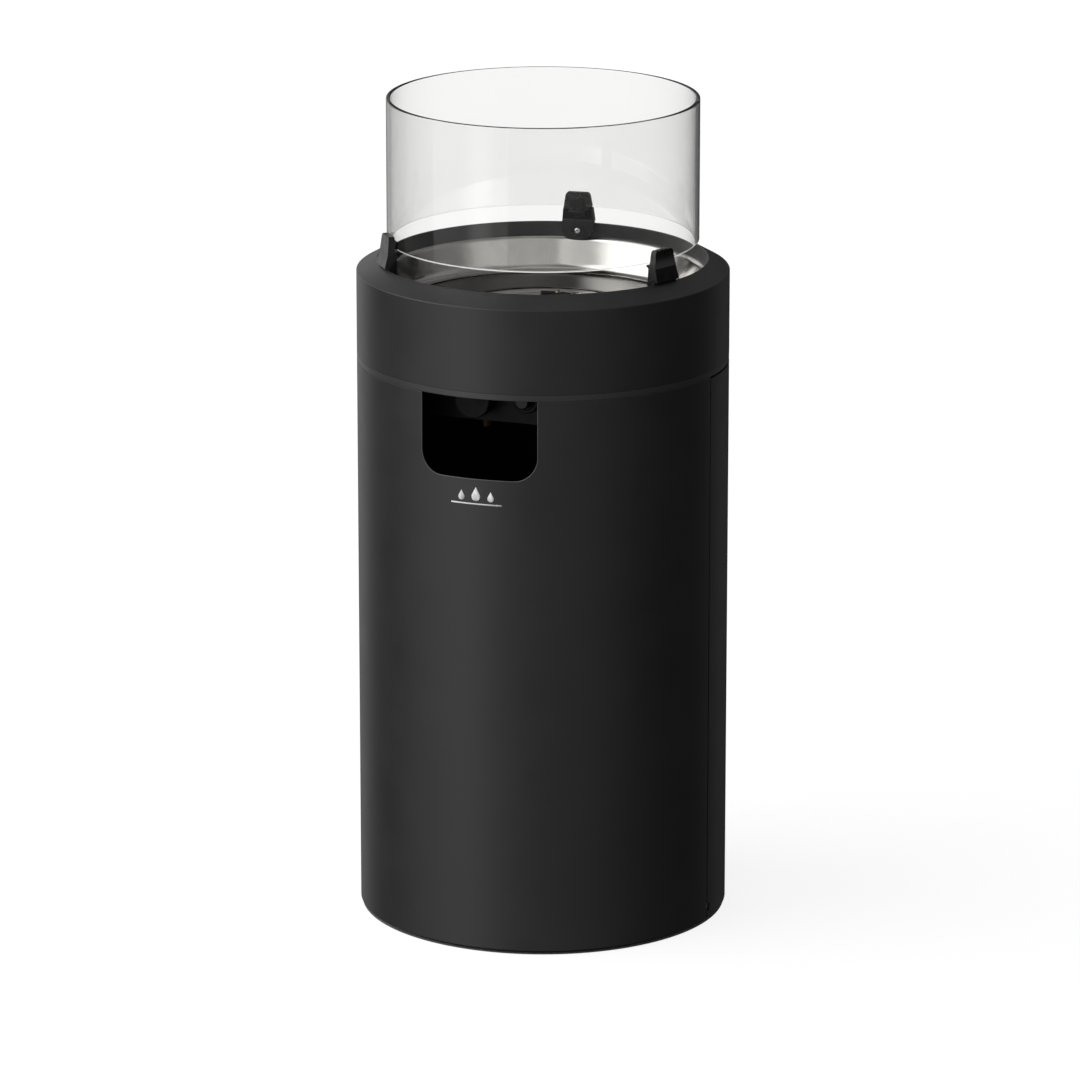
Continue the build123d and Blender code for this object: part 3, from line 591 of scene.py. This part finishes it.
def glass_clip():
    """One clip at the +X side."""
    bm = prism(CLIP_BACK, "y", -1, 1)
    for level, _ in CLIP_HALVES[1:-1]:
        bmesh.ops.bisect_plane(bm, geom=everything(bm), plane_co=(0, 0, level * MM), plane_no=(0, 0, 1))
    for v in bm.verts:
        v.co.y = math.copysign(half_width(v.co.z), v.co.y)
    gather(bm, prism(CLIP_LEDGE, "y", -LEDGE_HALF, LEDGE_HALF))
    depth, half, (low, high) = TAB
    top = high - TAB_CORNER
    arch = [(half - TAB_CORNER * (1 - math.cos(a)), top + TAB_CORNER * math.sin(a))
            for a in (math.pi / 12 * i for i in range(7))]
    corners = [(half, low)] + arch + [(-y, z) for y, z in arch[::-1]] + [(-half, low)]
    gather(bm, prism(corners, "x", *depth))
    bmesh.ops.recalc_face_normals(bm, faces=bm.faces[:])
    return bm


def facing(bearing):
    """Turns what stands at the +X side to a bearing from the front."""
    return Matrix.Rotation(math.radians(bearing - 90), 4, "Z")


for side, bearing in CLIP_BEARINGS.items():
    clip = glass_clip()
    bmesh.ops.transform(clip, matrix=facing(bearing), verts=clip.verts[:])
    made = piece(f"moulded_clip_{side}", clip, nylon, "column", [f"glass_clip_{side}"])
    break_edges(made, "moulded_edges", CLIP_EDGE, segments=3, angle=35)

# Silicone rubber, moulded clear: a milky pad that keeps the glass off the nylon.
silicone = finish("clear_silicone", 3, ("#c9cccc", "#dfe1e1"), (0.30, 0.42),
                  (0.6, 0.006), IOR=1.41, Transmission_Weight=0.7)
dress(silicone, "clip_pads")


# ---- Clip screws ----
# One M4 pan-head screw through each clip into the collar: bright steel, domed, with a cross recess
# that faces the burner.
HEAD_R = 3.1 * MM
HEAD_TOP_R = 2.0 * MM
HEAD_H = 1.6 * MM
SHANK_R = 2 * MM
SHANK_LONG = 14 * MM
HEAD_SEAT_R = 152 * MM
SCREW_Z = 650 * MM
CROSS = (1.45 * MM, 0.42 * MM)
CROSS_DEEP = 0.9 * MM


def cross_screw():
    """One screw at the +X side, its head towards the axis."""
    bm = bmesh.new()
    line = [(0, -SHANK_LONG), (SHANK_R, -SHANK_LONG), (SHANK_R, 0), (HEAD_R, 0), (HEAD_R, 0.35 * HEAD_H),
            (0.93 * HEAD_R, 0.66 * HEAD_H), (0.8 * HEAD_R, 0.88 * HEAD_H), (HEAD_TOP_R, HEAD_H)]
    corners = [bm.verts.new((r, 0, z)) for r, z in line]
    edges = [bm.edges.new(pair) for pair in zip(corners, corners[1:])]
    bmesh.ops.spin(bm, geom=corners + edges, axis=(0, 0, 1), cent=(0, 0, 0), angle=math.tau, steps=32,
                   use_merge=True)
    bmesh.ops.remove_doubles(bm, verts=bm.verts[:], dist=TURNED_WELD)
    arm, half = CROSS
    quarter = [(arm, -half), (arm, half), (half, half)]
    star = []
    for turn in range(4):
        spin = Matrix.Rotation(turn * math.pi / 2, 2)
        star += [bm.verts.new((*(spin @ Vector(p)), HEAD_H)) for p in quarter]
    mouth = [bm.edges.new(pair) for pair in zip(star, star[1:] + star[:1])]
    rim = [e for e in bm.edges if e.is_boundary]
    bmesh.ops.triangle_fill(bm, edges=rim + mouth, use_beauty=True)
    floor = bmesh.ops.extrude_edge_only(bm, edges=mouth)["geom"]
    sunk = [v for v in floor if isinstance(v, bmesh.types.BMVert)]
    bmesh.ops.translate(bm, verts=sunk, vec=(0, 0, -CROSS_DEEP))
    bmesh.ops.contextual_create(bm, geom=[e for e in floor if isinstance(e, bmesh.types.BMEdge)])
    bmesh.ops.recalc_face_normals(bm, faces=bm.faces[:])
    turn = Matrix.Rotation(-math.pi / 2, 4, "Y")
    bmesh.ops.transform(bm, matrix=Matrix.Translation((HEAD_SEAT_R, 0, SCREW_Z)) @ turn, verts=bm.verts[:])
    return bm


screws = bmesh.new()
for bearing in CLIP_BEARINGS.values():
    screw = cross_screw()
    bmesh.ops.transform(screw, matrix=facing(bearing), verts=screw.verts[:])
    gather(screws, screw)
piece("cross_head_clip_screws", screws, bright, "column", ["clip_screws"])


# ---- Glass cylinder ----
# Drawn borosilicate tube, cut to length, with ground and fire-polished edges. It stands loose on
# the clips and lifts straight off.
GLASS_WALL = 4 * MM
GLASS_EDGE = 0.9 * MM
glass_low, glass_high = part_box("glass_cylinder")
glass_r = glass_high.x

# Clear glass: next to no colour in a 4 mm wall, a trace of green in its depth.
glass, tree, surface, place = new_finish("clear_borosilicate_glass", IOR=1.48, Transmission_Weight=1.0)
mottle(tree, surface, place, 120 * MM, ("#f8f8f7", "#fafaf9"), (0.0, 0.004))
tube = turned([(glass_r, glass_low.z), (glass_r, glass_high.z), (glass_r - GLASS_WALL, glass_high.z),
               (glass_r - GLASS_WALL, glass_low.z)], dict.fromkeys(range(4), GLASS_EDGE))
chimney = piece("drawn_glass_cylinder", tube, glass, "glass", ["glass_cylinder"])
chimney.visible_shadow = False


# ---- Studio ----
# A white floor and backdrop, seen straight or through the glass, that the column doesn't reflect, and a dim
# surround that it does. Within a disc just wider than the column's foot the floor gives no light: a painted
# shadow under the column, which keeps its vents dark and draws a dark line round its foot.
VIEW_BEARING = math.radians(20.7)
FLOOR_R = 9.0
FLOOR_GLOW = 0.85
SHADOW_DISC_R = 181 * MM
OVERHEAD = {"wide": 1.2, "tall": 1.2, "radiance": 0.25}
OVERHEAD_Z = 3.0
OVERHEAD_AIM = Vector((0, 0, 0.45))

scene = bpy.context.scene
floor_bm = bmesh.new()
bmesh.ops.create_circle(floor_bm, cap_ends=True, segments=96, radius=FLOOR_R)
floor_mesh = bpy.data.meshes.new("studio_floor")
floor_bm.to_mesh(floor_mesh)
floor_bm.free()
floor = bpy.data.objects.new("studio_floor", floor_mesh)
scene.collection.objects.link(floor)
floor.visible_glossy = False
floor.visible_diffuse = False
floor.visible_shadow = False


def seen(tree, strength):
    """A strength for what is seen straight or through the glass, and nothing in reflections."""
    path = add(tree, "LightPath")
    bounces = add(tree, "Math", {0: path.outputs["Glossy Depth"], 1: path.outputs["Diffuse Depth"]},
                  operation="ADD")
    straight = add(tree, "Math", {0: bounces.outputs[0], 1: 0.5}, operation="LESS_THAN")
    through = add(tree, "Math", {0: path.outputs["Is Transmission Ray"], 1: straight.outputs[0]},
                  operation="MULTIPLY")
    either = add(tree, "Math", {0: path.outputs["Is Camera Ray"], 1: through.outputs[0]},
                 operation="MAXIMUM")
    return add(tree, "Math", {0: either.outputs[0], 1: strength}, operation="MULTIPLY").outputs[0]


paper, tree, surface, place = new_finish("white_paper", Base_Color=linear("#8c8c8c"), Roughness=0.9,
                                         Emission_Color=linear("#ffffff"))
# No glow within a disc round the axis, just wider than the column: a painted shadow under its foot.
from_axis = add(tree, "VectorMath", {0: place}, operation="LENGTH")
clear = add(tree, "Math", {0: from_axis.outputs["Value"], 1: SHADOW_DISC_R}, operation="GREATER_THAN")
glow = add(tree, "Math", {0: seen(tree, FLOOR_GLOW), 1: clear.outputs[0]}, operation="MULTIPLY")
tree.links.new(glow.outputs[0], surface.inputs["Emission Strength"])
floor_mesh.materials.append(paper)


def toward(bearing, distance, height):
    """A place at a bearing from the camera's own, in degrees towards its right."""
    angle = VIEW_BEARING + math.radians(bearing)
    return Vector((distance * math.sin(angle), -distance * math.cos(angle), height))


def softbox(name, spot, aim, wide, tall, radiance):
    """A rectangular light with an even face of one radiance."""
    lamp = bpy.data.lights.new(name, "AREA")
    lamp.shape = "RECTANGLE"
    lamp.size = wide
    lamp.size_y = tall
    lamp.energy = radiance * math.pi * wide * tall
    held = bpy.data.objects.new(name, lamp)
    held.location = spot
    held.rotation_euler = (aim - spot).to_track_quat("-Z", "Y").to_euler()
    held.visible_camera = False
    held.visible_transmission = False
    scene.collection.objects.link(held)


softbox("overhead", Vector((0, 0, OVERHEAD_Z)), OVERHEAD_AIM, **OVERHEAD)

# What the column reflects: a wide panel on the left with a clear edge and a soft lamp in it, a bright
# window high at the far left, faint light from the front and above, a bright and a faint patch behind,
# and a ceiling that fades downwards. Each patch has its bearing in degrees, its rise, its outer and
# inner angle in degrees, and its radiance.
PANEL = (-57, 0.3, 43, 42, 0.65)
LAMP = (-47.5, 0.0, 18, 3, 1.7)
WINDOW = (-85, 0.7, 40, 24, 1.8)
FRONT = (5, 0.0, 65, 5, 0.2)
ABOVE = (20, 0.55, 45, 12, 0.25)
BACK_LEFT = (-150, 0.05, 30, 5, 0.85)
BACK_RIGHT = (140, -0.1, 24, 5, 0.12)
CEILING = (0.03, 0.2)
CEILING_RISE = (0.05, 0.55)

world = bpy.data.worlds.new("studio_surround")
world.use_nodes = True
scene.world = world
tree = world.node_tree
backdrop = tree.nodes["Background"]
backdrop.inputs["Color"].default_value = linear("#ffffff")
around = add(tree, "TexCoord").outputs["Generated"]


def patch(bearing, rise, outer, inner, radiance):
    """A round patch of the surround that grows from an outer to an inner angle, in degrees."""
    lean = add(tree, "VectorMath", {0: around, 1: toward(bearing, 1, rise).normalized()},
               operation="DOT_PRODUCT")
    edges = [math.cos(math.radians(angle)) for angle in (outer, inner)]
    spread = {"Value": lean.outputs["Value"], "From Min": edges[0], "From Max": edges[1],
              "To Min": 0.0, "To Max": radiance}
    return add(tree, "MapRange", spread, interpolation_type="SMOOTHSTEP").outputs[0]


height = add(tree, "SeparateXYZ", {0: around})
fade = {"Value": height.outputs[2], "From Min": CEILING_RISE[0], "From Max": CEILING_RISE[1],
        "To Min": CEILING[0], "To Max": CEILING[1]}
light = add(tree, "MapRange", fade).outputs[0]
for spot in (PANEL, LAMP, WINDOW, FRONT, ABOVE, BACK_LEFT, BACK_RIGHT):
    light = add(tree, "Math", {0: light, 1: patch(*spot)}, operation="ADD").outputs[0]
shade = add(tree, "Mix", {0: seen(tree, 1.0), 2: light, 3: 1.0})
tree.links.new(shade.outputs[0], backdrop.inputs["Strength"])


# ---- Camera ----
# From just above a standing person's head, looking down at the column from its front right.
CAMERA_AWAY = 5.91
CAMERA_UP = 2.01
CAMERA_PITCH = math.radians(15.51)
CAMERA_LENS = 206.75
CAMERA_ASIDE = 3 * MM

camera_data = bpy.data.cameras.new("camera")
camera_data.lens = CAMERA_LENS
camera_data.sensor_width = 36
camera = bpy.data.objects.new("camera", camera_data)
scene.collection.objects.link(camera)
camera.location = toward(0, CAMERA_AWAY, CAMERA_UP)
target = toward(-90, CAMERA_ASIDE, CAMERA_UP - CAMERA_AWAY * math.tan(CAMERA_PITCH))
camera.rotation_euler = (target - camera.location).to_track_quat("-Z", "Y").to_euler()
scene.camera = camera
scene.view_settings.view_transform = "Standard"
